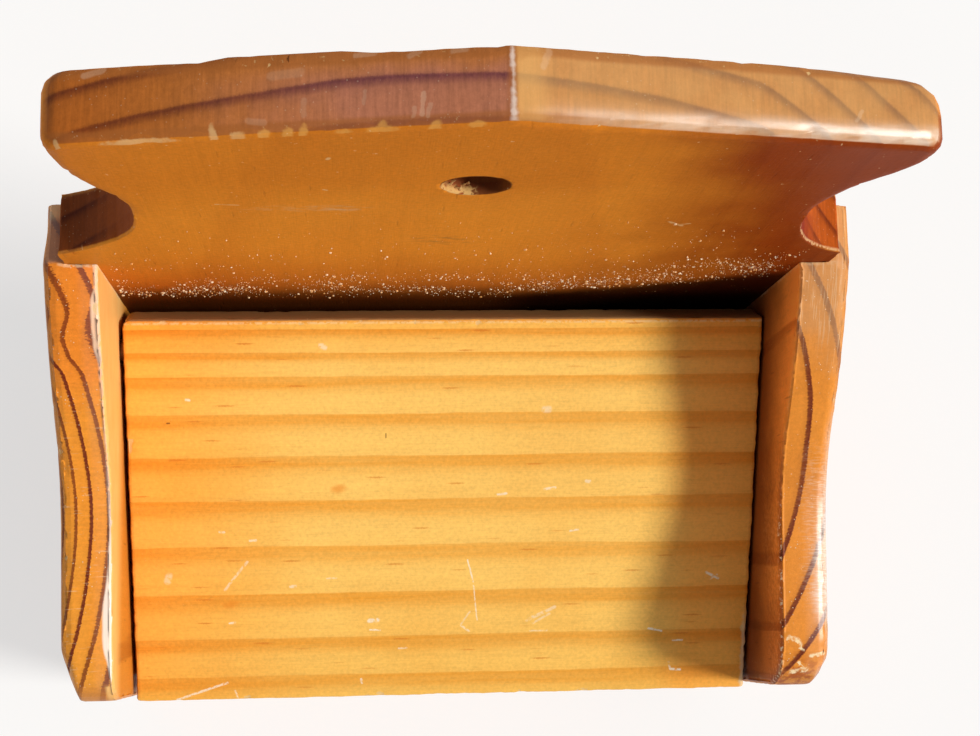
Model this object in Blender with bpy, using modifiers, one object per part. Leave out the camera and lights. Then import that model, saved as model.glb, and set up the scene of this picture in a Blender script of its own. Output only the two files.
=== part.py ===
"""Wall-hung salt box of solid pine: a shaped back board let into rabbeted ogee sides,
a front and a bottom set between them, and a sloping lid that swings on two wooden pins."""

import math

import bmesh
import bpy
from mathutils import Euler, Matrix, Vector

# Case, outside to outside
BOX_WIDTH = 0.171
SIDE_DEPTH = 0.1029
SIDE_HEIGHT = 0.156

# Board thicknesses
SIDE_THICKNESS = 0.0115
BACK_THICKNESS = 0.0127
FRONT_THICKNESS = 0.0115
BOTTOM_THICKNESS = 0.0115
LID_THICKNESS = 0.0100

# Joints between the boards
FIT_GAP = 0.0003
LIP_WIDTH = 0.0043
FRONT_SETBACK = 0.0050

# Ogee top of a side board, from the back board forwards
CROWN_START_ANGLE = math.radians(21.5)
HOLLOW_RADIUS = 0.0436
SHELF_RUN = 0.0239
SHELF_SLOPE = math.radians(6.7)
NOSE_RADIUS = 0.0128
NOSE_DROP = 0.0313
SIDE_ROUND = 0.0026
SIDE_ARRIS = 0.0007

# Shaped head of the back board, above the side boards
NECK_INSET = 0.0176
NECK_RISE = 0.0389
HEAD_INSET = 0.0071
HEAD_OFFSET = 0.0026
SCOOP_LOWER_RADIUS = 0.0331
SCOOP_UPPER_RADIUS = 0.0483
SHOULDER_RISE = 0.0425
CORNER_RADIUS = 0.0053
CREST_RISE = 0.0182
CREST_OFFSET = 0.0031
HEAD_ROUND = 0.0024
HEAD_BACK_ROUND = 0.0014

# Hanging hole
HANG_HOLE_DIAMETER = 0.0120
HANG_HOLE_DROP = 0.0379

# Lid and its pins
LID_SLOPE = math.radians(23)
LID_SIDE_GAP = 0.0009
LID_ARRIS = 0.0009
LID_OVERHANG = 0.0012
HINGE_DROP = 0.0397
HINGE_TO_LID_REAR = 0.0080
SWING_CLEARANCE = 0.0018
PIN_DIAMETER = 0.0050
PIN_IN_LID = 0.0140
PIN_CHAMFER = 0.0006

# Brads
BRAD_LENGTH = 0.0250
BRAD_DIAMETER = 0.0015
BRAD_HEAD_DIAMETER = 0.0026
BRAD_HEAD_DEPTH = 0.0010
BRAD_POINT = 0.0020
BRAD_SET = 0.0004
BACK_BRAD_ROWS = 4
BACK_BRAD_MARGIN = 0.0240
FRONT_BRAD_ROWS = 3
FRONT_BRAD_MARGIN = 0.0140
BOTTOM_BRAD_SHARES = (0.22, 0.78)

# Smoothness of the round stretches
ARC_STEPS = 10
ROUND_STEPS = 3
HOLE_SIDES = 32
PIN_SIDES = 24
BRAD_SIDES = 10

# How far a cutter runs past the wood it cuts
OVERRUN = 0.0050

# Places worked out from the sizes
WALL_Y = (SIDE_DEPTH + LID_OVERHANG) / 2
FRONT_Y = WALL_Y - SIDE_DEPTH
BACK_FACE_Y = WALL_Y - BACK_THICKNESS
INNER_HALF = BOX_WIDTH / 2 - SIDE_THICKNESS
LIP_FACE = BOX_WIDTH / 2 - LIP_WIDTH
BACK_HALF = LIP_FACE - FIT_GAP
BETWEEN_HALF = INNER_HALF - FIT_GAP
LID_HALF = INNER_HALF - LID_SIDE_GAP
HINGE_Y = BACK_FACE_Y - math.hypot(HINGE_TO_LID_REAR, LID_THICKNESS / 2) - SWING_CLEARANCE
HINGE_Z = SIDE_HEIGHT - HINGE_DROP
LID_REACH = (HINGE_Y + WALL_Y - (LID_THICKNESS / 2 - LID_ARRIS) * math.sin(LID_SLOPE)) / math.cos(LID_SLOPE)
FRONT_FACE_Y = FRONT_Y + FRONT_SETBACK
FRONT_REAR_Y = FRONT_FACE_Y + FRONT_THICKNESS
NECK_Z = SIDE_HEIGHT + NECK_RISE
CORNER_Z = NECK_Z + SHOULDER_RISE
CREST_Z = CORNER_Z + CREST_RISE


# Scene and materials

def clear_scene():
    for item in list(bpy.data.objects):
        bpy.data.objects.remove(item, do_unlink=True)


def make_collection(name):
    collection = bpy.data.collections.new(name)
    bpy.context.scene.collection.children.link(collection)
    return collection


def make_material(name, colour, roughness, metallic=0.0):
    material = bpy.data.materials.new(name)
    material.use_nodes = True
    shader = material.node_tree.nodes["Principled BSDF"]
    shader.inputs["Base Color"].default_value = (*colour, 1.0)
    shader.inputs["Roughness"].default_value = roughness
    shader.inputs["Metallic"].default_value = metallic
    return material


def add_object(name, mesh, collection, material=None):
    item = bpy.data.objects.new(name, mesh)
    collection.objects.link(item)
    if material:
        mesh.materials.append(material)
    return item


def shade(mesh):
    mesh.shade_smooth()
    mesh.set_sharp_from_angle(angle=math.radians(35))


# Outlines

def arc(centre, radius, start, end, steps=ARC_STEPS):
    """Points on an arc from one angle to another, both ends included."""
    points = []
    for step in range(steps + 1):
        angle = start + (end - start) * step / steps
        points.append(centre + radius * Vector((math.cos(angle), math.sin(angle))))
    return points


def angle_of(vector):
    return math.atan2(vector.y, vector.x)


def without_repeats(points):
    kept = [points[0]]
    for point in points[1:]:
        if (point - kept[-1]).length > FIT_GAP / 10:
            kept.append(point)
    return kept


def head_outline(side):
    """Half of the back board from foot to crest, as if at the right: scoop, shoulder, round corner."""
    neck = BACK_HALF - NECK_INSET
    head = BACK_HALF - HEAD_INSET + side * HEAD_OFFSET
    flare = head - neck
    shoulder_radius = (SHOULDER_RISE ** 2 + flare ** 2) / (2 * flare) - SCOOP_UPPER_RADIUS
    lower = Vector((neck + SCOOP_LOWER_RADIUS, NECK_Z))
    upper = Vector((neck + SCOOP_UPPER_RADIUS, NECK_Z))
    shoulder = Vector((head - shoulder_radius, CORNER_Z))
    corner = Vector((head - CORNER_RADIUS, CORNER_Z))
    crest = Vector((side * CREST_OFFSET, CREST_Z))
    scoop_start = 2 * math.pi - math.acos((BACK_HALF - lower.x) / SCOOP_LOWER_RADIUS)
    scoop_end = angle_of(shoulder - upper)
    to_crest = crest - corner
    corner_end = angle_of(to_crest) - math.acos(CORNER_RADIUS / to_crest.length)
    points = [Vector((BACK_HALF, 0))]
    points += arc(lower, SCOOP_LOWER_RADIUS, scoop_start, math.pi)
    points += arc(upper, SCOOP_UPPER_RADIUS, math.pi, scoop_end)
    points += arc(shoulder, shoulder_radius, scoop_end - math.pi, 0)
    points += arc(corner, CORNER_RADIUS, 0, corner_end, ARC_STEPS // 2)
    return without_repeats(points + [crest])


def back_outline():
    right = head_outline(1)
    left = [Vector((-point.x, point.y)) for point in head_outline(-1)]
    return right + left[-2::-1]


def side_outline():
    """Side board seen from its right: crown, hollow, sloping shelf and nose run into one another."""
    uphill = Vector((math.cos(SHELF_SLOPE), math.sin(SHELF_SLOPE)))
    off_shelf = Vector((-math.sin(SHELF_SLOPE), math.cos(SHELF_SLOPE)))
    nose = Vector((FRONT_Y + NOSE_RADIUS, SIDE_HEIGHT - NOSE_DROP - NOSE_RADIUS))
    hollow = nose + SHELF_RUN * uphill + (NOSE_RADIUS + HOLLOW_RADIUS) * off_shelf
    crown_top = Vector((BACK_FACE_Y, SIDE_HEIGHT))
    inward = Vector((math.sin(CROWN_START_ANGLE), -math.cos(CROWN_START_ANGLE)))
    across = hollow - crown_top
    crown_radius = (across.length_squared - HOLLOW_RADIUS ** 2) / (2 * (HOLLOW_RADIUS + across.dot(inward)))
    crown = crown_top + crown_radius * inward
    crown_start = angle_of(crown_top - crown)
    crown_end = angle_of(hollow - crown)
    shelf_angle = angle_of(off_shelf)
    points = [Vector((WALL_Y, 0)), Vector((WALL_Y, SIDE_HEIGHT))]
    points += arc(crown, crown_radius, crown_start, crown_end)
    points += arc(hollow, HOLLOW_RADIUS, crown_end - math.pi, shelf_angle - math.pi)
    points += arc(nose, NOSE_RADIUS, shelf_angle, math.pi)
    return without_repeats(points + [Vector((FRONT_Y, 0))])


def lid_underside_z(y):
    """Height of the closed lid's underside at a distance from front to back."""
    return HINGE_Z - LID_THICKNESS / 2 / math.cos(LID_SLOPE) - (HINGE_Y - y) * math.tan(LID_SLOPE)


def front_outline():
    """Section of the front board, whose top is planed to the slope of the lid."""
    drop = FIT_GAP / math.cos(LID_SLOPE)
    front_top = Vector((FRONT_FACE_Y, lid_underside_z(FRONT_FACE_Y) - drop))
    rear_top = Vector((FRONT_REAR_Y, lid_underside_z(FRONT_REAR_Y) - drop))
    return [Vector((FRONT_FACE_Y, 0)), Vector((FRONT_REAR_Y, 0)), rear_top, front_top]


# Boards

def board_mesh(name, outline, thickness):
    """Solid board of a flat outline, its grain faces at plus and minus half the thickness."""
    curve = bpy.data.curves.new(name, "CURVE")
    curve.dimensions = "2D"
    curve.fill_mode = "BOTH"
    curve.extrude = thickness / 2
    spline = curve.splines.new("POLY")
    spline.points.add(len(outline) - 1)
    for knot, point in zip(spline.points, outline):
        knot.co = (point.x, point.y, 0, 1)
    spline.use_cyclic_u = True
    holder = bpy.data.objects.new(name + "_outline", curve)
    bpy.context.scene.collection.objects.link(holder)
    bpy.context.view_layer.update()
    graph = bpy.context.evaluated_depsgraph_get()
    mesh = bpy.data.meshes.new_from_object(holder.evaluated_get(graph))
    bpy.data.objects.remove(holder, do_unlink=True)
    merge_board(mesh)
    mesh.name = name
    return mesh


def merge_board(mesh):
    """Weld the caps to the edge, and turn each flat face into one polygon."""
    form = bmesh.new()
    form.from_mesh(mesh)
    bmesh.ops.remove_doubles(form, verts=form.verts, dist=FIT_GAP / 30)
    bmesh.ops.dissolve_limit(form, angle_limit=math.radians(1), verts=form.verts, edges=form.edges)
    bmesh.ops.recalc_face_normals(form, faces=form.faces)
    form.to_mesh(mesh)
    form.free()


def round_edges(mesh, width, steps, wanted):
    """Round over the edges whose two ends and direction satisfy a test."""
    form = bmesh.new()
    form.from_mesh(mesh)
    chosen = [edge for edge in form.edges if wanted(edge.verts[0].co, edge.verts[1].co)]
    bmesh.ops.bevel(form, geom=chosen, offset=width, offset_type="OFFSET", segments=steps,
                    profile=0.5, affect="EDGES", clamp_overlap=True, material=-1)
    form.to_mesh(mesh)
    form.free()


def on_face(start, end, level):
    """True where an edge lies in the board's face at a level through its thickness."""
    return all(abs(point.z - level) < FIT_GAP / 30 for point in (start, end))


def above(start, end, height):
    return min(start.y, end.y) > height


def make_back_board(collection, material):
    mesh = board_mesh("back_board", back_outline(), BACK_THICKNESS)
    half = BACK_THICKNESS / 2
    round_edges(mesh, HEAD_ROUND, ROUND_STEPS,
                lambda start, end: on_face(start, end, half) and above(start, end, SIDE_HEIGHT))
    round_edges(mesh, HEAD_BACK_ROUND, 2,
                lambda start, end: on_face(start, end, -half) and above(start, end, SIDE_HEIGHT))
    board = add_object("back_board", mesh, collection, material)
    board.rotation_euler = Euler((math.pi / 2, 0, 0))
    board.location = (0, WALL_Y - half, 0)
    return board


def make_side_board(name, side, collection, material):
    """Side board with its outer top edge rounded over; side is 1 at the right, -1 at the left."""
    mesh = board_mesh(name, side_outline(), SIDE_THICKNESS)
    half = SIDE_THICKNESS / 2
    foot = FIT_GAP

    def shaped(start, end, level):
        behind = min(start.x, end.x) > BACK_FACE_Y + FIT_GAP
        upright_back = behind and abs(start.x - end.x) < FIT_GAP
        return on_face(start, end, level) and max(start.y, end.y) > foot and not upright_back

    round_edges(mesh, SIDE_ROUND, ROUND_STEPS, lambda start, end: shaped(start, end, side * half))
    round_edges(mesh, SIDE_ARRIS, 1, lambda start, end: shaped(start, end, -side * half))
    board = add_object(name, mesh, collection, material)
    board.rotation_euler = Euler((math.pi / 2, 0, math.pi / 2))
    board.location = (side * (BOX_WIDTH / 2 - half), 0, 0)
    return board


def make_front_board(collection, material):
    mesh = board_mesh("front_board", front_outline(), 2 * BETWEEN_HALF)
    board = add_object("front_board", mesh, collection, material)
    board.rotation_euler = Euler((math.pi / 2, 0, math.pi / 2))
    return board


def box_mesh(name, low, high):
    """Rectangular block between two corners."""
    size = high - low
    middle = (low + high) / 2
    form = bmesh.new()
    place = Matrix.Translation(middle) @ Matrix.Diagonal((*size, 1))
    bmesh.ops.create_cube(form, size=1, matrix=place)
    mesh = bpy.data.meshes.new(name)
    form.to_mesh(mesh)
    form.free()
    return mesh


def make_bottom_board(collection, material):
    low = Vector((-BETWEEN_HALF, FRONT_REAR_Y + FIT_GAP, 0))
    high = Vector((BETWEEN_HALF, BACK_FACE_Y - FIT_GAP, BOTTOM_THICKNESS))
    return add_object("bottom_board", box_mesh("bottom_board", low, high), collection, material)


def make_lid(collection, material):
    """Lid as a plain board whose origin is on the hinge axis, tipped down to the front."""
    low = Vector((-LID_HALF, -LID_REACH, -LID_THICKNESS / 2))
    high = Vector((LID_HALF, HINGE_TO_LID_REAR, LID_THICKNESS / 2))
    mesh = box_mesh("lid", low, high)
    round_edges(mesh, LID_ARRIS, 2, lambda start, end: True)
    shade(mesh)
    lid = add_object("lid", mesh, collection, material)
    lid.location = (0, HINGE_Y, HINGE_Z)
    lid.rotation_euler = Euler((LID_SLOPE, 0, 0))
    return lid


# Turned pieces

def turned_mesh(name, profile, sides):
    """Turn a profile of (radius, height) pairs, listed top to bottom, about the upright axis."""
    outline = bpy.data.meshes.new(name + "_profile")
    form = bmesh.new()
    corners = [form.verts.new((radius, 0, height)) for radius, height in profile]
    for start, end in zip(corners, corners[1:]):
        form.edges.new((start, end))
    form.to_mesh(outline)
    form.free()
    holder = bpy.data.objects.new(name + "_profile", outline)
    bpy.context.scene.collection.objects.link(holder)
    screw = holder.modifiers.new("turn", "SCREW")
    screw.axis = "Z"
    screw.angle = 2 * math.pi
    screw.steps = sides
    screw.render_steps = sides
    screw.use_merge_vertices = True
    screw.merge_threshold = FIT_GAP / 30
    bpy.context.view_layer.update()
    graph = bpy.context.evaluated_depsgraph_get()
    mesh = bpy.data.meshes.new_from_object(holder.evaluated_get(graph))
    bpy.data.objects.remove(holder, do_unlink=True)
    bpy.data.meshes.remove(outline)
    mesh.name = name
    return mesh


def pin_profile(clearance):
    """Dowel standing on its outer end, its inner end chamfered; clearance swells it to a hole."""
    radius = PIN_DIAMETER / 2 + clearance
    length = SIDE_THICKNESS + LID_SIDE_GAP + PIN_IN_LID + clearance
    foot = -OVERRUN if clearance else 0
    return [(0, length), (radius - PIN_CHAMFER, length), (radius, length - PIN_CHAMFER), (radius, foot), (0, foot)]


def brad_profile(clearance):
    """Brad pointing up from its head; clearance swells it to the hole and opens the hole out."""
    shank = BRAD_DIAMETER / 2 + clearance
    head = BRAD_HEAD_DIAMETER / 2 + clearance
    tip = BRAD_SET + BRAD_LENGTH + clearance
    neck = BRAD_SET + BRAD_HEAD_DEPTH + clearance
    foot = -OVERRUN if clearance else BRAD_SET
    return [(0, tip), (shank, tip - BRAD_POINT), (shank, neck), (head, neck), (head, foot), (0, foot)]


def scatter(name, pattern, places):
    """One mesh holding a separate copy of a small mesh at each place."""
    form = bmesh.new()
    for place in places:
        copy = pattern.copy()
        copy.transform(place)
        form.from_mesh(copy)
        bpy.data.meshes.remove(copy)
    mesh = bpy.data.meshes.new(name)
    form.to_mesh(mesh)
    form.free()
    return mesh


def driven(start, direction):
    """Placement that drives a turned piece into the wood from a point on its surface."""
    turn = Vector((0, 0, 1)).rotation_difference(direction).to_matrix().to_4x4()
    return Matrix.Translation(start) @ turn


def from_side(side, y, z):
    return driven(Vector((side * BOX_WIDTH / 2, y, z)), Vector((-side, 0, 0)))


def back_brad_places():
    """Rows through the back board into the shoulders, with the hinge pin midway between the top two."""
    middle = (INNER_HALF + LIP_FACE) / 2
    spacing = (HINGE_Z - BACK_BRAD_MARGIN) / (BACK_BRAD_ROWS - 1.5)
    top = HINGE_Z + spacing / 2
    places = []
    for side in (-1, 1):
        for row in range(BACK_BRAD_ROWS):
            start = Vector((side * middle, WALL_Y, top - row * spacing))
            places.append(driven(start, Vector((0, -1, 0))))
    return places


def front_brad_places():
    """Rows through each side board into the ends of the front board."""
    y = (FRONT_FACE_Y + FRONT_REAR_Y) / 2
    top = lid_underside_z(FRONT_FACE_Y) - FRONT_BRAD_MARGIN
    spacing = (top - FRONT_BRAD_MARGIN) / (FRONT_BRAD_ROWS - 1)
    return [from_side(side, y, top - row * spacing) for side in (-1, 1) for row in range(FRONT_BRAD_ROWS)]


def bottom_brad_places():
    """Brads through each side board into the ends of the bottom board."""
    z = BOTTOM_THICKNESS / 2
    run = BACK_FACE_Y - FRONT_REAR_Y
    return [from_side(side, FRONT_REAR_Y + share * run, z) for side in (-1, 1) for share in BOTTOM_BRAD_SHARES]


# Cutting

def make_cutter(name, mesh, collection):
    cutter = add_object(name, mesh, collection)
    cutter.hide_render = True
    cutter.display_type = "WIRE"
    return cutter


def cut(board, cutters):
    for cutter in cutters:
        modifier = board.modifiers.new(cutter.name, "BOOLEAN")
        modifier.operation = "DIFFERENCE"
        modifier.solver = "EXACT"
        modifier.object = cutter


def make_rabbet_cutter(side, collection):
    """Block that leaves a shoulder and a thin lip at the back edge of a side board."""
    inner = side * (INNER_HALF - OVERRUN)
    outer = side * LIP_FACE
    low = Vector((min(inner, outer), BACK_FACE_Y - FIT_GAP, -OVERRUN))
    high = Vector((max(inner, outer), WALL_Y + OVERRUN, SIDE_HEIGHT + OVERRUN))
    name = "right_rabbet" if side > 0 else "left_rabbet"
    return make_cutter(name, box_mesh(name, low, high), collection)


def make_hang_hole_cutter(collection):
    form = bmesh.new()
    radius = HANG_HOLE_DIAMETER / 2
    bmesh.ops.create_cone(form, cap_ends=True, segments=HOLE_SIDES, radius1=radius, radius2=radius,
                          depth=BACK_THICKNESS + 2 * OVERRUN)
    mesh = bpy.data.meshes.new("hanging_hole")
    form.to_mesh(mesh)
    form.free()
    cutter = make_cutter("hanging_hole", mesh, collection)
    cutter.rotation_euler = Euler((math.pi / 2, 0, 0))
    cutter.location = (0, WALL_Y - BACK_THICKNESS / 2, CREST_Z - HANG_HOLE_DROP)
    return cutter


def make_brads(name, places, pattern, parts, cutters):
    """The brads of one joint, all of one pattern, and the cutter for the holes they are driven into."""
    for number, place in enumerate(places, start=1):
        add_object(f"{name}_brad_{number}", pattern, parts).matrix_world = place
    hole = turned_mesh("brad_hole", brad_profile(FIT_GAP), BRAD_SIDES)
    return make_cutter(name + "_brad_holes", scatter(name + "_brad_holes", hole, places), cutters)


def make_pin(side, parts, cutters, material):
    """One lid pin in its side board, and the cutter for its hole there and in the lid."""
    name = "right_lid_pin" if side > 0 else "left_lid_pin"
    place = from_side(side, HINGE_Y, HINGE_Z)
    mesh = turned_mesh(name, pin_profile(0), PIN_SIDES)
    shade(mesh)
    pin = add_object(name, mesh, parts, material)
    pin.matrix_world = place
    hole = make_cutter(name + "_hole", turned_mesh(name + "_hole", pin_profile(FIT_GAP), PIN_SIDES), cutters)
    hole.matrix_world = place
    return hole


# Assembly

def build():
    clear_scene()
    parts = make_collection("salt_box")
    cutters = make_collection("cutters")
    amber_pine = make_material("amber_pine", (0.50, 0.19, 0.04), 0.32)
    deep_pine = make_material("deep_pine", (0.42, 0.15, 0.03), 0.35)
    pale_pine = make_material("pale_pine", (0.72, 0.40, 0.11), 0.38)
    bare_pine = make_material("bare_pine", (0.62, 0.36, 0.13), 0.60)
    dowel_wood = make_material("dowel_wood", (0.60, 0.38, 0.17), 0.55)
    brad_steel = make_material("brad_steel", (0.30, 0.28, 0.26), 0.45, 1.0)

    back = make_back_board(parts, deep_pine)
    left = make_side_board("left_side_board", -1, parts, amber_pine)
    right = make_side_board("right_side_board", 1, parts, amber_pine)
    front = make_front_board(parts, amber_pine)
    bottom = make_bottom_board(parts, bare_pine)
    lid = make_lid(parts, pale_pine)

    left_pin_hole = make_pin(-1, parts, cutters, dowel_wood)
    right_pin_hole = make_pin(1, parts, cutters, dowel_wood)
    brad = turned_mesh("brad", brad_profile(0), BRAD_SIDES)
    brad.materials.append(brad_steel)
    shade(brad)
    back_holes = make_brads("back", back_brad_places(), brad, parts, cutters)
    front_holes = make_brads("front", front_brad_places(), brad, parts, cutters)
    bottom_holes = make_brads("bottom", bottom_brad_places(), brad, parts, cutters)

    cut(back, [make_hang_hole_cutter(cutters), back_holes])
    cut(left, [make_rabbet_cutter(-1, cutters), left_pin_hole, back_holes, front_holes, bottom_holes])
    cut(right, [make_rabbet_cutter(1, cutters), right_pin_hole, back_holes, front_holes, bottom_holes])
    cut(front, [front_holes])
    cut(bottom, [bottom_holes])
    cut(lid, [left_pin_hole, right_pin_hole])


build()
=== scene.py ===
"""Looks of a wall-hung wooden salt box: varnished pine boards with worn edges, a sloping lid
with straight grain, wooden lid pins and steel brads, on a pale floor under soft light."""

import math
import random

import bmesh
import bpy
from mathutils import Matrix, Vector, kdtree, noise


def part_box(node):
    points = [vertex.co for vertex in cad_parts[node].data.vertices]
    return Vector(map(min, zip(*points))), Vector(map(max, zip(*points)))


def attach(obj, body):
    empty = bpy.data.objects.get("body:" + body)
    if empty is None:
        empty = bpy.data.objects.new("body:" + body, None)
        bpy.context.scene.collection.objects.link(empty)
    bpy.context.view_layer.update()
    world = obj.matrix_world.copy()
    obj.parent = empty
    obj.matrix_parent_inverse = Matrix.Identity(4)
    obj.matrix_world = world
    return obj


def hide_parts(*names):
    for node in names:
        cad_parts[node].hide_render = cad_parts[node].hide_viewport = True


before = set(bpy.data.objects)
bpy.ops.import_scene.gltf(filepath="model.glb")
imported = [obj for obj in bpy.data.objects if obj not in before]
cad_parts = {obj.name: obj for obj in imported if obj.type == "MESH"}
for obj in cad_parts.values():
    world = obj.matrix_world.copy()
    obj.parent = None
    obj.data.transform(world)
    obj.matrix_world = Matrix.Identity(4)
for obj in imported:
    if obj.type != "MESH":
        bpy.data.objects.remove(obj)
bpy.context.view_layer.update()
scene = bpy.context.scene

# Back board: one wide pine board with upright grain, its head sawn to a shape and rounded over.
# It is let into the rabbets of the side boards, glued and nailed, and its hole hangs on a hook.

MILLIMETRE = 0.001
WELD = 1e-6
UPRIGHT, LEVEL = Vector((0, 0, 1)), Vector((1, 0, 0))


class Finish:
    """A material, or the studio's light, made of nodes. Places are measured in millimetres."""

    def __init__(self, name, owner=None):
        self.material = owner or bpy.data.materials.new(name)
        self.material.use_nodes = True
        self.tree = self.material.node_tree
        self.tree.nodes.clear()

    def add(self, kind, settings=None, sockets=None, output=0):
        """Any shader node: its settings first, then the values or wires of its sockets."""
        node = self.tree.nodes.new("ShaderNode" + kind)
        for key, value in (settings or {}).items():
            if key == "stops":
                ramp = node.color_ramp
                for spare in range(len(value) - 2):
                    ramp.elements.new(0.5)
                for element, (position, grey) in zip(ramp.elements, value):
                    element.position = position
                    element.color = (grey, grey, grey, 1)
            else:
                setattr(node, key, value)
        for key, value in (sockets or {}).items():
            socket = node.inputs[key]
            if isinstance(value, Wire):
                self.tree.links.new(value.socket, socket)
            elif isinstance(value, (int, float)) or len(value) == len(socket.default_value):
                socket.default_value = value
            else:
                socket.default_value = (*value, 1)
        return Wire(self, node.outputs[output]) if len(node.outputs) else None

    def axes(self):
        """The place on the piece along x, y and z, in millimetres."""
        place = self.add("TexCoord", output=3)
        scaled = self.add("VectorMath", {"operation": "SCALE"},
                          {0: place, 3: 1 / MILLIMETRE})
        split = self.add("SeparateXYZ", None, {0: scaled})
        outputs = split.socket.node.outputs
        return [Wire(self, outputs[axis]) for axis in range(3)]

    def point(self, x, y, z):
        return self.add("CombineXYZ", None, {0: x, 1: y, 2: z})

    def cloud(self, x, y, z, detail=2.0, roughness=0.5):
        """Soft noise from 0 to 1 whose blots are about one unit across."""
        return self.add("TexNoise", None,
                        {"Vector": self.point(x, y, z), "Scale": 1.0,
                         "Detail": detail, "Roughness": roughness})

    def blots(self, x, y, z, scale, detail=2.0, roughness=0.5):
        """Soft noise that is alike in all directions, with scale blots to a millimetre."""
        return self.cloud(x * scale, y * scale, z * scale, detail, roughness)

    def flecks(self, x, y, z):
        """Distance to the nearest of scattered points, one to a unit cell."""
        return self.add("TexVoronoi", None,
                        {"Vector": self.point(x, y, z), "Scale": 1.0})

    def ramp(self, value, stops):
        return self.add("ValToRGB", {"stops": stops}, {0: value})

    def mix(self, share, first, second, blend="MIX"):
        return self.add("Mix", {"data_type": "RGBA", "blend_type": blend},
                        {0: share, 6: first, 7: second}, output=2)

    def attribute(self, name):
        return self.add("Attribute", {"attribute_name": name}, output=2)

    def close(self, colour, roughness, height, depth, **fixed):
        """Bring the wires together in one shader; depth is the relief's full height in metres."""
        bump = self.add("Bump", None,
                        {"Strength": 1.0, "Distance": depth, "Height": height})
        sockets = {"Base Color": colour, "Roughness": roughness, "Normal": bump}
        sockets.update(fixed)
        shader = self.add("BsdfPrincipled", None, sockets)
        self.add("OutputMaterial", None, {0: shader})
        return self.material


def operator(operation, turned=False):
    """A wire's operator, which adds one maths node. Turned puts the wire second."""
    def combine(self, other):
        return self.math(operation, *((other, self) if turned else (self, other)))
    return combine


class Wire:
    """A socket in a finish, on which sums can be written."""

    def __init__(self, finish, socket):
        self.finish = finish
        self.socket = socket

    def math(self, operation, first, second=0.0):
        return self.finish.add("Math", {"operation": operation}, {0: first, 1: second})

    __add__, __radd__ = operator("ADD"), operator("ADD", True)
    __sub__, __rsub__ = operator("SUBTRACT"), operator("SUBTRACT", True)
    __mul__, __rmul__ = operator("MULTIPLY"), operator("MULTIPLY", True)
    __truediv__ = operator("DIVIDE")
    least, most = operator("MINIMUM"), operator("MAXIMUM")

    def __neg__(self):
        return self * -1.0

    def clamp(self):
        return self.least(1.0).most(0.0)

    def fraction(self):
        return self.math("FRACT", self)

    def floor(self):
        return self.math("FLOOR", self)

    def absolute(self):
        return self.math("ABSOLUTE", self)

    def span(self, other):
        """Length of the diagonal over two distances."""
        return self.math("SQRT", self * self + other * other)

    def step(self, low, high):
        """0 below low, 1 above high, smooth between them."""
        return self.finish.add("MapRange", {"interpolation_type": "SMOOTHSTEP"},
                               {0: self, 1: low, 2: high, 3: 0.0, 4: 1.0})

    def fall(self, low, high):
        """1 below low, 0 above high, smooth between them."""
        return 1 - self.step(low, high)

    def mix(self, share, other):
        """This colour covered by another, as far as the share says."""
        return self.finish.mix(share, self, other)

    def tint(self, share, other):
        """This colour multiplied by another, as far as the share says."""
        return self.finish.mix(share, self, other, "MULTIPLY")


def gridded(node, step, turn=None, cuts=()):
    """Merged copy of a CAD board, cut into small faces so that it can be shaped by hand."""
    turn = turn or Matrix.Identity(3)
    form = bmesh.new()
    form.from_mesh(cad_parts[node].data)
    bmesh.ops.remove_doubles(form, verts=form.verts, dist=WELD)
    bmesh.ops.dissolve_limit(form, angle_limit=math.radians(0.5),
                             verts=form.verts, edges=form.edges)
    for axis in range(3):
        direction = turn.col[axis].normalized()
        reach = [vertex.co.dot(direction) for vertex in form.verts]
        low, high = min(reach), max(reach)
        count = max(2, round((high - low) / step))
        places = [low + (high - low) * part / count for part in range(1, count)]
        for inset in cuts:
            places += [low + inset * MILLIMETRE, high - inset * MILLIMETRE]
        for place in places:
            bmesh.ops.bisect_plane(form, geom=form.verts[:] + form.edges[:] + form.faces[:],
                                   dist=WELD, plane_co=direction * place, plane_no=direction)
    return form


def edge_points(form, angle):
    """The ends and middles of the edges that stand out from the wood by more than an angle."""
    points = []
    for edge in form.edges:
        if len(edge.link_faces) == 2 and edge.is_convex and edge.calc_face_angle() > angle:
            first, second = (vertex.co for vertex in edge.verts)
            points += [first.copy(), (first + second) / 2, second.copy()]
    tree = kdtree.KDTree(len(points))
    for index, point in enumerate(points):
        tree.insert(point, index)
    tree.balance()
    return tree


EDGE_ANGLE = math.radians(16)
EDGE_REACH = 1.2
NICK_LEVEL = 0.27
UNEVENNESS = 0.03


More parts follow.
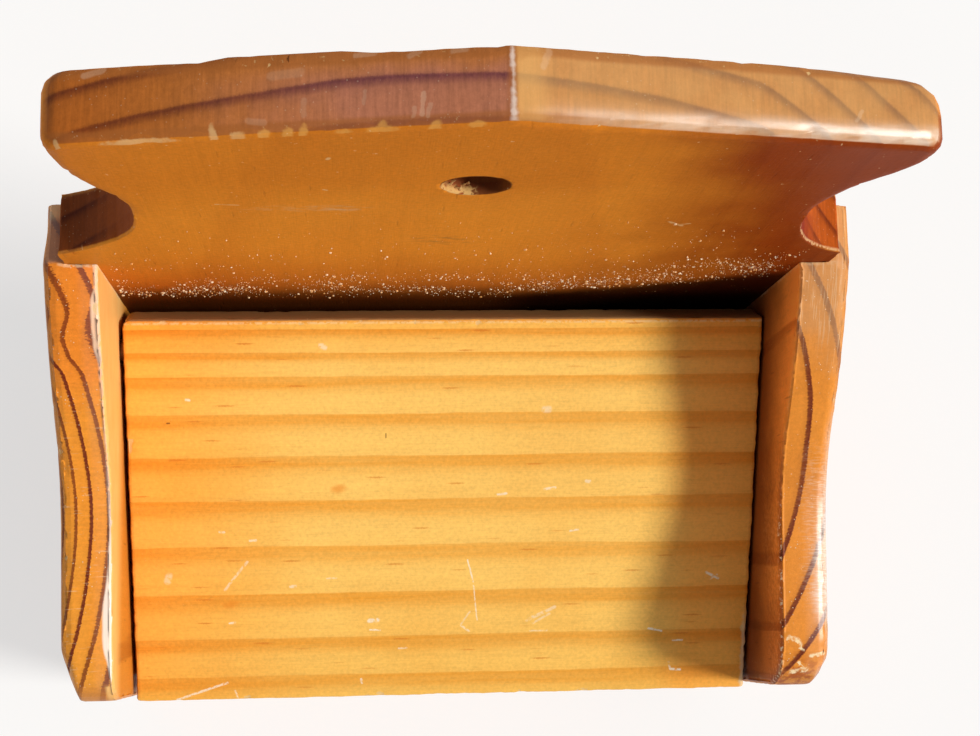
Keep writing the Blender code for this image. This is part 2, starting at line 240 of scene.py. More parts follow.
def wear_down(form, node, grain, rub=0.10, chip=0.5, seed=0.0, shape=None, room=0):
    """Rub the arrises, chip them here and there, and make the flat faces slightly uneven.
    Stores how near an edge each point is, how deep it is chipped, and whether it is end grain.
    Shape moves the worn points further, and room lets the ends pass the CAD solid's box."""
    low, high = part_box(node)
    low, high = low - LEVEL * room * MILLIMETRE, high + LEVEL * room * MILLIMETRE
    tree = edge_points(form, EDGE_ANGLE)
    form.normal_update()
    edge_layer = form.verts.layers.float.new("edge")
    nick_layer = form.verts.layers.float.new("nick")
    end_layer = form.verts.layers.float.new("end")
    shift = Vector((seed, 2 * seed, 3 * seed))
    moves = []
    for vertex in form.verts:
        near = math.exp(-(tree.find(vertex.co)[2] / MILLIMETRE / EDGE_REACH) ** 2)
        place = vertex.co / MILLIMETRE + shift
        rough = noise.noise(place * 0.45)
        dent = noise.noise(place * 0.33 + shift) - NICK_LEVEL + 0.25 * noise.noise(place * 0.9)
        nick = max(0.0, dent) * 2.2
        hollow = UNEVENNESS * (1 + noise.noise(place * 0.06))
        depth = hollow + near * (rub * (1 + rough) + chip * nick)
        vertex[edge_layer] = near
        vertex[nick_layer] = near * nick
        vertex[end_layer] = abs(vertex.normal.dot(grain))
        moves.append(vertex.co - vertex.normal * depth * MILLIMETRE)
    for vertex, move in zip(form.verts, moves):
        if shape:
            move = shape(move / MILLIMETRE, vertex.normal) * MILLIMETRE
        vertex.co = [min(max(move[axis], low[axis]), high[axis]) for axis in range(3)]


def show(form, name, material):
    """Turn a finished form into an object."""
    mesh = bpy.data.meshes.new(name)
    form.to_mesh(mesh)
    form.free()
    mesh.materials.append(material)
    shown = bpy.data.objects.new(name, mesh)
    scene.collection.objects.link(shown)
    return shown


def show_board(form, node, body, material):
    """Turn a finished form into the piece that stands for a CAD board."""
    board = show(form, node + "_wood", material)
    board.data.shade_smooth()
    board.data.set_sharp_from_angle(angle=math.radians(40))
    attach(board, body)
    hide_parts(node)


def ease(value, start, finish):
    """Plain number that goes smoothly from 0 at start to 1 at finish."""
    part = min(max((value - start) / (finish - start), 0.0), 1.0)
    return part * part * (3 - 2 * part)


def shortfall(inset, radius):
    """How far a quarter round lies inside a square corner, at a distance in from the corner."""
    if inset >= radius:
        return 0.0
    return radius - math.sqrt(max(0.0, radius * radius - (radius - inset) ** 2))


def mark(across, down, x0, y0, x1, y1, width):
    """A scratch between two places on a board, 1 in its middle and 0 past its width."""
    run, fall = x1 - x0, y1 - y0
    length = run * run + fall * fall
    part = (((across - x0) * run + (down - y0) * fall) / length).clamp()
    beside, below = across - x0 - part * run, down - y0 - part * fall
    return (beside.span(below) / width).fall(0.4, 1.0)


def marks(across, down, table):
    """The strongest of many scratches, each with two places, a width and a strength."""
    found = 0.0
    for *ends_and_width, strength in table:
        found = (mark(across, down, *ends_and_width) * strength).most(found)
    return found


WORN_TONE = (0.80, 0.55, 0.25)
DUST_TONE = (0.92, 0.75, 0.52)
RELIEF = 0.00012


def pine(name, board, rings, profile, end_tones, face_tones, stains=None, sheen=0.2, blur=0.16,
         specks=1.0, dashes=0.5, teeth=0.3, figure=1.0, saw=0.16, sand=0.06,
         dash_tone=(0.30, 0.09, 0.012), lustre=0.10):
    """Varnished pine. Board turns a place into distances along the grain, across the board and
    through it, rings counts the growth rings there, and tones are the pale and the dark wood.
    Stains adds what only this board has. Sheen is the varnish's weight or works it out, blur its
    roughness, and lustre the wood's own shine. Specks says how much dust lies on it, dashes how
    dark its resin canals are, teeth how far the saw has frayed the rings on the end grain, figure
    how strong they are on the faces, saw how strong the saw marks are, and sand how uneven the
    varnish has dried."""
    wood = Finish(name)
    x, y, z = wood.axes()
    along, across, through = board(x, y, z)
    end = wood.attribute("end").step(0.45, 0.8)
    drift = wood.cloud(along * 0.006, across * 0.05, through * 0.05, 2.0)
    fibre = wood.cloud(along * 0.16, across * 3.4, through * 3.4, 3.0, 0.6)
    streak = wood.cloud(along * 0.02, across * 0.6, through * 0.6, 3.0)
    grit = wood.blots(x, y, z, 2.3, 3.0, 0.7)
    hair = wood.cloud(along * 0.3, across * 3.0, through * 1.1, 2.0, 0.6)
    count = rings(wood, along, across, through) + (drift - 0.5) * 0.18
    count += (hair - 0.5) * end * teeth
    count = count + (fibre - 0.5) * 0.04 + (streak - 0.5) * (1 - end) * 0.09
    late = wood.add("RGBToBW", None, {0: wood.ramp(count.fraction(), profile)})
    one = wood.add("TexWhiteNoise", {"noise_dimensions": "1D"}, {"W": count.floor()})
    late *= 0.84 + one * 0.16
    ends = wood.mix((late * (0.84 + hair * 0.34)).clamp(), *end_tones)
    faces = wood.mix((late * (0.25 + streak * 1.15) * figure).clamp(), *face_tones)
    colour = wood.mix(end, faces, ends)
    patch = wood.cloud(x * 0.035, y * 0.035, z * 0.022, 3.0)
    colour = colour.mix(patch.step(0.42, 0.75) * 0.22, face_tones[1])
    lines = wood.cloud(across * 1.9, through * 0.16, along * 0.16, 2.0) * end
    pores = wood.blots(x, y, z, 1.2, 1.0)
    shade = 0.72 + fibre * 0.22 + streak * 0.16 + grit * 0.18
    shade += (lines - end * 0.5) * saw * 2
    shade += (pores - 0.5) * sand * 4
    colour = colour.tint(1.0, wood.point(shade, shade, shade))
    canal = wood.flecks(along * 0.05, across * 0.5 + (grit - 0.5) * 0.3, through * 0.10)
    canal = canal.fall(0.06, 0.15) * (1 - end) * streak.step(0.30, 0.5)
    colour = colour.mix(canal * dashes, dash_tone)
    if stains:
        colour = stains(wood, x, y, z, colour, end)
    ragged = wood.blots(x, y, z, 1.1, 4.0, 0.65)
    near = wood.attribute("edge")
    worn = (wood.attribute("nick") + (ragged - 0.5) * 0.9).step(0.62, 0.8)
    worn = worn.most((near + (ragged - 0.5) * 1.3).step(1.12, 1.3) * 0.6)
    colour = colour.mix(worn * 0.75, WORN_TONE)
    dust = wood.flecks(x * 0.95, y * 0.95, z * 0.95)
    cluster = wood.blots(x, y, z, 0.12, 3.0)
    dust = (dust / (0.02 + cluster * 0.26)).fall(0.55, 0.8)
    dust *= (cluster + late * end * 0.20).step(0.40, 0.60)
    dust = dust * (0.25 + end * 0.75) * specks
    colour = colour.mix(dust * 0.7, DUST_TONE)
    gloss = wood.blots(x, y, z, 0.11, 4.0)
    roughness = (0.36 + gloss * 0.16 + worn * 0.25 + grit * 0.06).clamp()
    height = fibre * 0.25 + late * 0.2 - canal * 0.2 - worn * 0.3
    height = height + dust * 0.4 + grit * 0.12 + pores * sand * 3
    weight = sheen(wood, x, y, z, end) if callable(sheen) else sheen
    return wood.close(colour, roughness, height, RELIEF, **{
        "Coat Weight": weight, "Coat Roughness": blur, "Specular IOR Level": lustre})


# How dark a ring is from its early wood, at 0, to its late wood, near 1.
WIDE_PROFILE = ((0.0, 0.30), (0.05, 0.04), (0.50, 0.03), (0.72, 0.20), (0.85, 0.75),
                (0.93, 1.0), (0.97, 0.85), (1.0, 0.32))


def back_axes(x, y, z):
    return z, x, y


def back_rings(wood, along, across, through):
    """Wide bows on the head, falling away more steeply towards its right end."""
    reach = across + 10.7
    depth = through + 175 + (along - 250) * 0.03
    bow = reach.span(depth) - 222.4
    right = (across - 43).most(0.0)
    return (bow + right * right / (right + 4) * 0.5) / 7.0 + 8.93


# The board's faces and the parts of its head, in millimetres in the object's frame.
FRONT_FACE, REAR_FACE = 39.35, 52.05
HEAD_END_RIGHT = 76.4
HEAD_ROUND = 2.4
HOLE_RADIUS, HOLE_HEIGHT = 6.0, 217.7
CREST = 3.1

# Chips along the head's front edge: the place across, then half the width and the height.
HEAD_CHIPS = (
    (-68.0, 0.6, 1.0), (-55.0, 6.5, 0.45), (-43.3, 0.8, 2.1), (-39.6, 1.5, 0.8),
    (-35.2, 1.1, 1.0), (-31.5, 1.2, 1.0), (-29.0, 0.8, 1.3), (-17.0, 2.8, 0.55),
    (-16.9, 0.9, 1.3), (-8.8, 1.2, 1.0), (-2.5, 1.6, 0.5), (-23.0, 1.6, 0.35))
# Dents in the face, x and z of both ends, and marks on the head's end grain, x and y of both
# ends. The width and the strength follow.
FACE_DENTS = (
    (-25.6, 234.2, -25.4, 235.0, 0.5, 1), (-26.5, 215.2, -26.0, 214.8, 0.4, 1),
    (39.0, 191.6, 42.0, 188.4, 0.55, 1), (40.5, 189.0, 43.2, 190.2, 0.4, 1),
    (-46, 205, -42, 204.4, 0.35, 1))
HEAD_MARKS = (
    (-10.9, 41.2, -10.7, 44.5, 0.5, 0.65), (-10.0, 40.9, -9.6, 42.6, 0.4, 0.5),
    (-12.2, 41.0, -12.0, 42.4, 0.35, 0.4), (-19.7, 43.5, -19.6, 45.5, 0.4, 0.3),
    (-37.6, 41.6, -35.2, 41.3, 0.6, 0.3), (-34.0, 48.6, -29.5, 48.9, 0.9, 0.3),
    (-29.1, 42.0, -29.0, 44.5, 0.5, 0.3), (-63.5, 50.4, -60.6, 51.2, 0.7, 0.55),
    (-21.0, 51.3, -18.0, 51.4, 0.5, 0.45), (-12.6, 50.6, -11.0, 51.4, 0.6, 0.5),
    (-6.0, 51.2, -4.0, 51.4, 0.6, 0.45), (8.0, 48.5, 8.8, 51.0, 0.7, 0.5),
    (60.0, 43.0, 60.9, 44.8, 0.35, 0.5))


def back_stains(wood, x, y, z, colour, end):
    """The left of the head is darker and purple-brown, painted shade and painted sky reflection
    on the facet turned from the light, and the right is hazy tan. Painted highlights run along
    the head's rounded front edge and its crest. The face darkens to the right, painted shade
    darkens it towards the foot and most just above the lid, and a painted shadow of the right
    side board lies at its lower right. Fine salt is painted alike over the whole face, and there
    are smudges, dents, chips."""
    patch = wood.blots(x, y, z, 0.03, 3.0)
    fine = wood.blots(x, y, z, 0.16, 3.0)
    shift = fine - 0.5
    crumb = wood.blots(x, y, z, 0.9, 2.0)
    jitter = crumb - 0.5
    near = wood.attribute("edge")

    # The head's end grain
    head = end * z.step(225, 232)
    left = head * x.fall(2.7, 3.3)
    # Painted shade and painted sky reflection darken the left facet and turn it purple-brown.
    colour = colour.tint(left * x.fall(-72, -30), (0.86, 0.72, 0.55))
    purple = left * (x + shift * 26).step(-58, -16)
    purple *= 1 - (y + shift * 4).step(47, 50.5) * 0.7
    colour = colour.tint(purple, (0.94, 0.92, 1.9))
    colour = colour.tint(left * (1 - purple), (0.95, 0.84, 0.65))
    hazy = head * x.step(2.7, 3.3)
    colour = colour.mix(hazy * (0.12 + fine * 0.36), (0.82, 0.49, 0.19))
    rim = head * (near + shift * 0.5).step(0.45, 0.95)
    rim *= 1 - x.step(3, 30) * y.fall(46, 49)
    colour = colour.mix(rim * 0.62, (0.36, 0.115, 0.026))
    # Painted highlight: a pale band along the head's rounded front edge, brighter to the right.
    brushed = wood.cloud(x * 0.10, y * 1.6, z * 1.6, 3.0, 0.6)
    head_highlight = head * x.step(4, 24) * (y + shift * 1.4 - x * 0.012).fall(40.2, 42.9)
    misty = wood.cloud(x * 0.09, y * 0.5, z * 0.5, 3.0)
    head_highlight *= 0.22 + x.step(10, 60) * 0.30
    head_highlight = head_highlight * (0.4 + brushed * 0.7) * (0.4 + misty.step(0.35, 0.6))
    colour = colour.mix(head_highlight, (0.93, 0.80, 0.68))
    # Painted highlight: a narrow whitish line along the crest of the head.
    crest_highlight = (x - CREST).absolute() + shift * 1.3 + jitter * 0.9 + y.step(43, 52) * 0.3
    colour = colour.mix(head * crest_highlight.fall(0.0, 0.75) * 0.62, (0.90, 0.78, 0.70))
    tan = head * x.step(3.4, 4.2) * (x + shift * 3).fall(6, 10)
    colour = colour.mix(tan * 0.3, (0.90, 0.50, 0.16))

    # The face
    flat = (1 - end) * y.fall(44.5, 46.5)
    brown = (x + (patch - 0.5) * 50 + (z - 200) * 0.12).step(16, 66) * flat
    colour = colour.tint(brown * 0.95, (0.32, 0.115, 0.095))
    upper = (z + (patch - 0.5) * 30).step(196, 226) * x.fall(14, 44) * flat
    colour = colour.tint(upper * 0.8, (0.86, 0.76, 0.62))
    # Painted shade: the face darkens towards the foot, and most just above the lid.
    foot = (z + (patch - 0.5) * 14).fall(118, 172) * flat
    colour = colour.tint(foot * 0.9, (0.55, 0.42, 0.57))
    painted_shade_above_lid = (z + shift * 7).fall(115, 141) * flat
    colour = colour.tint(painted_shade_above_lid * 0.9, (0.22, 0.18, 0.24))
    # Painted shadow of the right side board, almost black, at the lower right of the face.
    rise = z - (x - 14).most(0.0) * 0.42
    corner = (rise + shift * 3).fall(116, 125) * x.step(2, 24) * flat
    colour = colour.tint(corner * 0.9, (0.06, 0.035, 0.03))

    # The scoops and the hole
    off_centre = x.span(z - HOLE_HEIGHT)
    bore = off_centre.fall(HOLE_RADIUS + 0.15, HOLE_RADIUS + 0.5)
    scoop = z.fall(222, 228) * y.step(39.75, 40.1) * y.fall(50.6, 51.8) * (1 - bore)
    shadow = scoop * x.fall(-10, 10)
    colour = colour.tint(shadow, (0.37, 0.22, 0.185))
    colour = colour.tint((scoop - shadow).clamp(), (0.82, 0.40, 0.14))
    pale = z.fall(186, 194) * z.step(160, 164) * x.step(40, 50)
    pale *= (y + jitter * 0.5).step(39.5, 39.7)
    pale *= (y + jitter * 0.8).fall(39.9, 40.3)
    colour = colour.mix(pale * crumb.step(0.3, 0.6) * 0.6, (0.80, 0.50, 0.25))
    torn = bore * (x + jitter * 2.6).fall(-0.4, 0.9)
    torn *= (z + jitter * 3).fall(216, 219)
    # Painted shade: the wall of the hanging hole is painted nearly black.
    colour = colour.mix(bore * 0.85, (0.12, 0.028, 0.010))
    colour = colour.mix(torn * (-x).step(0.5, 3.5) * 0.7, (0.50, 0.13, 0.04))
    torn = torn * (y + jitter * 3.4).fall(40.1, 41.5) * crumb.step(0.34, 0.46)
    colour = colour.mix(torn * 0.85, (0.74, 0.45, 0.16))

    # Two smudges, dents in the face, chips along the head's edge, and marks on its end grain
    strand = wood.cloud(x * 0.30, z * 1.5, y * 0.5, 3.0, 0.6)
    for centre, width, height, tone, share in (
            ((-28, 202), 12, 2.6, (0.66, 0.46, 0.26), 0.55),
            ((-5, 177), 8, 5.0, (0.26, 0.12, 0.04), 0.5)):
        far = ((x - centre[0]) / width).span((z - centre[1]) / height)
        smudge = (far + shift * 1.6).fall(0.3, 1.2) * strand.step(0.44, 0.66) * flat
        colour = colour.mix(smudge * share, tone)
    dents = marks(x, z, FACE_DENTS)
    colour = colour.mix(dents * flat * crumb.step(0.3, 0.5) * 0.6, (0.80, 0.55, 0.26))
    chipped = 0.0
    for place, width, height in HEAD_CHIPS:
        beside = (x - place + shift * 2) / width
        far = beside.span((y - 39.6) / height) + jitter * 0.9
        chipped = far.fall(0.5, 1.05).most(chipped)
    chipped = chipped * z.step(228, 232) * (near + end + jitter * 0.4).step(0.34, 0.5)
    strokes = 0.0
    for *ends, width, share in HEAD_MARKS:
        stroke = mark(x + jitter * 0.9, y + shift * 0.8, *ends, width * 1.3)
        strokes = (stroke * stroke * share).most(strokes)
    colour = colour.mix(strokes * head * (0.16 + fine * 0.3), (0.88, 0.68, 0.48))
    chipped *= 0.35 + fine * 0.4
    chip_tone = wood.mix(x.step(-42, -34), (0.84, 0.55, 0.25), (0.82, 0.40, 0.09))
    colour = colour.mix(chipped, chip_tone)

    # Fine salt
    grain = wood.flecks(x * 1.5, z * 0.9, y * 0.1)
    size = wood.cloud(x * 0.7, z * 0.7, 4.0, 1.0)
    salt = grain.fall(size * 0.34, size * 0.34 + 0.10) * size.step(0.66, 0.74)
    return colour.mix(salt * flat * 0.5, (0.90, 0.60, 0.30))


def back_sheen(wood, x, y, z, end):
    """The varnish is dull on the face and in the scoops, and glossy where the head is rounded."""
    rounded = end * z.step(226, 233)
    return 0.02 + rounded * (0.08 + x.step(4, 12) * y.fall(41.8, 44.5) * 0.85)


SQUARING = 0.97
QUARTER_BULGE = 0.414
CORNER_START = 58
NECK_RIGHT, NECK_LEFT = 1.9, 1.2


def sharpen(place, normal):
    """Bring the rounded front arris of the scoops back to a nearly square one."""
    depth = (place.y - FRONT_FACE) / HEAD_ROUND
    outwards = Vector((normal.x, 0, normal.z))
    beside_scoop = abs(place.x) >= 45 and 150 <= place.z <= 204
    if not beside_scoop or not 0 < depth < 1 or outwards.length < 0.05:
        return
    part = SQUARING * (1 - ease(place.z, 192, 204))
    towards_face = 1 - depth
    towards_side = math.sqrt(1 - towards_face ** 2)
    outwards.normalize()
    if towards_face > towards_side:
        place += outwards * part * HEAD_ROUND * QUARTER_BULGE * towards_side
        place.y -= part * HEAD_ROUND * depth
    else:
        place += outwards * part * HEAD_ROUND * (1 - towards_side)
        place.y -= part * HEAD_ROUND * QUARTER_BULGE * towards_face


def back_shape(place, normal):
    """Wear of the head, whose rear right corner is rubbed round and whose rear edge is crisper at
    the left, and the neck, which is wider than in the CAD."""
    head = ease(place.z, 205, 225)
    behind = REAR_FACE - place.y
    for side, radius in ((1, 6.5), (-1, 3.5)):
        reach = side * place.x - CORNER_START
        if reach > 0:
            share = head * reach / (HEAD_END_RIGHT - CORNER_START)
            place.x -= side * share * shortfall(behind, radius)
    long_taper = 1.0 + 3.0 * ease(place.x, 42, 74)
    place.z -= ease(place.z, 232, 240) * shortfall(behind, long_taper) * ease(place.x, 38, 60)
    crisp = ease(place.x, -46, -40) * (1 - ease(place.x, -24, -17))
    if normal.y > 0.3 and normal.z > 0.3:
        place.y += 0.5 * crisp
        place.z += 0.4 * crisp
    neck = ease(place.z, 165, 186) * (1 - ease(place.z, 202, 230))
    place.x += (NECK_RIGHT * ease(place.x, 20, 62) + NECK_LEFT * ease(-place.x, 20, 62)) * neck
    beside = ease(abs(place.x), 68, 80.9) * ease(place.z, 120, 136) * (1 - ease(place.z, 186, 196))
    place.x -= beside * (1.2 if place.x > 0 else -0.8)
    sharpen(place, normal)
    return place


form = gridded("back_board", 1.6 * MILLIMETRE, cuts=(0.5,))
wear_down(form, "back_board", UPRIGHT, rub=0.08, chip=0.4, seed=3.1, shape=back_shape)
show_board(form, "back_board", "case", pine(
    "back_pine", back_axes, back_rings, WIDE_PROFILE,
    ((0.50, 0.19, 0.05), (0.17, 0.050, 0.028)), ((0.80, 0.275, 0.025), (0.56, 0.160, 0.014)),
    back_stains, back_sheen, 0.34, specks=0.2, dashes=0.25, teeth=0.06, figure=0.35, saw=0.30,
    lustre=0.02))

# Torn fibres: short slivers, pale to brown, that the drill left at the lower left of the
# hanging hole. Each is a thin five-sided cone that leans off the wall of the hole.

SLIVERS = 12
FIRST_SLIVER, SLIVER_TURN = 178, 7.5
form = bmesh.new()
for number in range(SLIVERS):
    spread = noise.noise(Vector((number * 1.7, 0.3, 0)))
    turn = math.radians(FIRST_SLIVER + number * SLIVER_TURN)
    rim = Vector((math.cos(turn), 0, math.sin(turn))) * (HOLE_RADIUS - 0.15)
    length = 0.9 + 1.3 * abs(spread)
    lean = (Matrix.Rotation(-turn - math.pi / 2 + spread * 0.7, 4, "Y")
            @ Matrix.Rotation(spread * 0.8, 4, "X"))
    depth = 40.2 + 0.45 * (number % 4) + spread
    middle = Matrix.Translation((rim + Vector((0, depth, HOLE_HEIGHT))) * MILLIMETRE)
    inwards = Matrix.Translation((0, 0, 0.3 * length * MILLIMETRE))
    flattened = Matrix.Diagonal((1, 0.5, 1, 1))
    bmesh.ops.create_cone(form, cap_ends=True, segments=5, radius1=0.45 * MILLIMETRE,
                          radius2=0.12 * MILLIMETRE, depth=length * MILLIMETRE,
                          matrix=middle @ lean @ inwards @ flattened)
torn = Finish("torn_fibre")
strand = torn.blots(*torn.axes(), 2.5, 3.0)
torn_colour = torn.mix(strand.step(0.35, 0.65), (0.70, 0.42, 0.14), (0.50, 0.20, 0.06))
slivers = show(form, "hole_slivers", torn.close(torn_colour, 0.6 + strand * 0.2, strand, 0.0001))
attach(slivers, "case")

# Salt: coarse grains that cling to the lower face of the back board, thickest just above the lid
# and higher up towards the right. None lies where the scoops have taken the wood away.

SALT_TRIES = 4600
SALT_SPREAD = 73
SALT_SINK = 0.35
SCOOP_CENTRE = (96.4, 194.9)
SCOOP_RADIUS = 33.1
form = bmesh.new()
draw = random.Random(11)
for number in range(SALT_TRIES):
    across = draw.uniform(-SALT_SPREAD, SALT_SPREAD)
    rise = draw.triangular(119, 148, 130) if number % 5 else draw.triangular(122, 196, 128)
    rise += 0.36 * max(0.0, across - 14)
    size = 0.05 + 0.06 * draw.random() + 0.24 * draw.random() ** 10
    stretch = Matrix.Diagonal((draw.uniform(0.9, 1.7), 0.8, draw.uniform(0.8, 1.3), 1))
    crowd = noise.noise(Vector((across * 0.07, rise * 0.10, 3.0)))
    crowd += 0.6 * noise.noise(Vector((across * 0.3, rise * 0.3, 8.0)))
    from_scoop = math.hypot(abs(across) - SCOOP_CENTRE[0], rise - SCOOP_CENTRE[1])
    if crowd < draw.uniform(-0.45, 0.25) or from_scoop < SCOOP_RADIUS + 1:
        continue
    place = Matrix.Translation(Vector((across, FRONT_FACE - size * SALT_SINK, rise)) * MILLIMETRE)
    turn = Matrix.Rotation(draw.uniform(0, 3), 4, "Y")
    bmesh.ops.create_icosphere(form, subdivisions=1, radius=size * MILLIMETRE,
                               matrix=place @ turn @ stretch)
salt = Finish("salt")
speckle = salt.blots(*salt.axes(), 1.3, 2.0)
salt_colour = salt.mix(speckle.step(0.38, 0.6), (0.95, 0.84, 0.64), (0.78, 0.38, 0.11))
grains = show(form, "salt_grains", salt.close(salt_colour, 0.25 + speckle * 0.2, speckle, 0.00005))
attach(grains, "case")

# Side boards: pine with upright grain, so that their ogee tops show end grain as thin dark arcs.
# The outer top edge is rounded over, and a lip behind each rabbet hides the back board's edge.


SIDE_INNER, SIDE_THICKNESS = 74.0, 11.5
SIDE_OUTER = SIDE_INNER + SIDE_THICKNESS
SIDE_TOP = 156
SIDE_FRONT = -50.85
# The rabbet's shoulder and wall, as cut in the CAD, and where they meet the glued back board.
SHOULDER, SHOULDER_GLUED = (38.7, 39.2), 39.32
WALL, WALL_GLUED = (80.9, 81.45), 80.94


def side_axes(x, y, z):
    return z, y, x


def left_rings(wood, along, across, through):
    """Bows that bulge towards the inside, with a kink near the back board."""
    reach = through + 179.7 + (SIDE_TOP - along) * 0.02
    spread = across + 10.9
    bow = reach.span(spread)
    near = bow.step(107.5, 110)
    kink = (across - near * 2.5).step(24, 31) * 3.4 - across.step(17.5, 22) * (1.5 - near * 1.25)
    inside = 105.6 - (bow - kink)
    return 20.88 - inside / 4.2 - inside * inside * 0.0062


def right_rings(wood, along, across, through):
    """Bows that bulge towards the outside."""
    reach = through - 19.1 + (SIDE_TOP - along) * 0.02
    spread = across - 2.0
    return (reach.span(spread) - 60.7) / 7.4 + 8.90


def top_edge(wood, z, end):
    """1 on a side board's top and just over its arrises, 0 further down its faces."""
    return (end + wood.attribute("edge") * 1.2).step(0.15, 0.6) * z.step(88, 100)


def left_stains(wood, x, y, z, colour, end):
    """The inner face is bright golden under its arris, the arris is rubbed and carries a painted
    highlight, and fine scratches run across the top."""
    fine = wood.cloud(x * 0.3, y * 0.12, z * 0.3, 3.0)
    shift = fine - 0.5
    back = y.step(19, 24)
    inner = end.fall(0.5, 0.9) * x.step(-76.5, -75.5) * z.step(108, 122)
    inner_tone = wood.mix(fine, (0.96, 0.49, 0.125), (1.0, 0.67, 0.25))
    colour = colour.mix(inner * 0.85, inner_tone)
    golden = end * (x + y * 0.1 + shift * 7).fall(-84.5, -79) * y.fall(-22, 4)
    colour = colour.tint(golden * 0.5, (0.94, 1.10, 1.3))
    colour = colour.tint(end * (y + shift * 8).step(8, 20), (0.97, 0.82, 0.80))
    line = wood.cloud(x * 0.22, y * 2.6, z * 0.2, 2.0)
    scored = line.step(0.62, 0.72) * end * fine.step(0.35, 0.6) * y.fall(8, 22)
    colour = colour.mix(scored * 0.35, (0.95, 0.72, 0.44))
    # Painted highlight: a pale pink-white streak along the rubbed inner arris.
    hair = wood.cloud(x * 4.0, y * 0.10, z * 0.10, 2.0)
    shelf = y.step(-45, -38) * y.fall(-32, -20)
    start = -74.9 - back * 0.9 * y.fall(32, 35) - shelf * 1.3
    painted_highlight = (x + shift * 0.8).step(start - 0.25, start + 0.35)
    painted_highlight = painted_highlight * z.step(110, 114) * end.step(0.3, 0.7)
    painted_highlight = painted_highlight * (0.30 + back * 0.55 + (-y).step(4, 28) * 0.6) * (0.78 + hair * 0.4)
    painted_highlight_tone = wood.mix(back, (1.0, 0.90, 0.78), (0.98, 0.66, 0.44))
    colour = colour.mix(painted_highlight.clamp(), painted_highlight_tone)
    return seam(wood, x, y, z, colour, end)


def right_stains(wood, x, y, z, colour, end):
    """The inner face is deep red-brown with painted shade low down near the lid, the rear of the
    top is tan with fine saw marks, and the nose is scratched. A painted highlight lies along the
    outer arris of the front half."""
    fine = wood.blots(x, y, z, 0.12, 3.0)
    shift = fine - 0.5
    crumb = wood.blots(x, y, z, 1.1, 2.0)
    jitter = crumb - 0.5
    inner = x.fall(74.1, 74.7)
    low = (z - y * 0.35 + shift * 10).fall(112, 142)
    colour = colour.tint(end, (0.90, 0.89, 1.15))
    colour = colour.tint(inner, (1.75, 1.78, 2.9))
    # Painted shade: the inner face darkens low down near the lid.
    colour = colour.tint(inner * low * 0.9, (0.14, 0.07, 0.055))
    colour = colour.tint(inner * (-y).step(22, 38), (0.66, 0.56, 0.54))
    rear = end * (y + x * 0.5 + shift * 12).step(56, 68)
    colour = colour.mix(rear * 0.5, (0.60, 0.33, 0.15))
    saw = wood.cloud(x * 3.4, y * 0.10, z * 0.3, 2.0).step(0.54, 0.66)
    colour = colour.mix(rear * saw * 0.35, (0.86, 0.62, 0.38))
    chips = marks(x + jitter * 1.6, y + jitter * 1.1, RIGHT_CHIPS)
    smoke = wood.blots(x, y, z, 0.45, 3.0, 0.6)
    dark = (-y - (x - 80) * 0.2).step(41, 50) * (1 - inner)
    dark = dark * smoke.step(0.40, 0.58) * z.step(84, 104)
    colour = colour.tint(dark * 0.85, (0.52, 0.26, 0.18))
    arris = ((x - 74.35).absolute() + jitter * 0.4).fall(0.15, 0.4) * z.step(110, 114)
    colour = colour.tint(arris * y.fall(-8, 10) * 0.6, (0.35, 0.16, 0.14))
    arris = arris * y.fall(-18, -4) * crumb.step(0.56, 0.66)
    colour = colour.mix(arris, (0.90, 0.74, 0.52))
    chips = chips * (1 - inner) * crumb.step(0.34, 0.62) * z.step(98, 104)
    colour = colour.mix(chips * 0.9, (1.0, 0.80, 0.48))
    # Painted highlight: a broad pale patch and a white streak on the front half's outer arris.
    ridges = wood.cloud(x * 0.5, y * 3.2, z * 0.5, 2.0)
    start = 82.6 - (-y).step(18, 30) * 0.9 + y.step(-18, -4) * 1.4
    painted_highlight = (x + shift * 2.4).step(start - 1.3, start + 1.5)
    painted_highlight = painted_highlight * y.step(-38.5, -33) * y.fall(2, 16)
    painted_highlight *= 0.34 + ridges.step(0.30, 0.7) * 0.30
    painted_highlight = painted_highlight * (1 - y.step(-14, -4) * 0.5) * top_edge(wood, z, end)
    broad_highlight = end * x.step(77.5, 82) * y.step(-37, -28) * y.fall(-6, 6) * ridges.step(0.45, 0.62)
    colour = colour.mix(broad_highlight * 0.28, (0.95, 0.70, 0.48))
    colour = colour.mix(painted_highlight.clamp(), (1.0, 0.92, 0.84))
    return seam(wood, x, y, z, colour, end)


def seam(wood, x, y, z, colour, end):
    """Pale line of glue and salt where the back board's face meets the top."""
    crumb = wood.blots(x, y, z, 0.8, 2.0)
    jitter = crumb - 0.5
    line = (y + jitter * 0.8).step(38.6, 39.0) * y.fall(39.5, 39.8)
    line = line * z.step(118, 122) * x.absolute().fall(81.6, 82.4)
    line = line * crumb.step(0.35, 0.55) * (0.55 - x.step(-10, 10) * 0.3)
    colour = colour.mix(line, (0.86, 0.62, 0.38))
    lip = (-x + jitter * 0.3).step(80.3, 80.7) * y.step(39.3, 40.2) * end
    lip_tone = wood.mix(y.step(48, 50), (0.30, 0.24, 0.22), (0.85, 0.66, 0.42))
    return colour.mix(lip * 0.55, lip_tone)


# Chips on the right nose: x and y of both ends, the width and the strength.
RIGHT_CHIPS = (
    (76.0, -39.9, 77.9, -40.6, 0.7, 1), (77.9, -40.6, 79.1, -42.8, 0.6, 1),
    (80.8, -44.2, 84.0, -43.6, 0.6, 1), (76.8, -47.7, 80.4, -47.2, 0.7, 1),
    (74.5, -45.4, 74.3, -48.6, 0.6, 1), (78.5, -45.5, 79.8, -47.0, 0.4, 1))


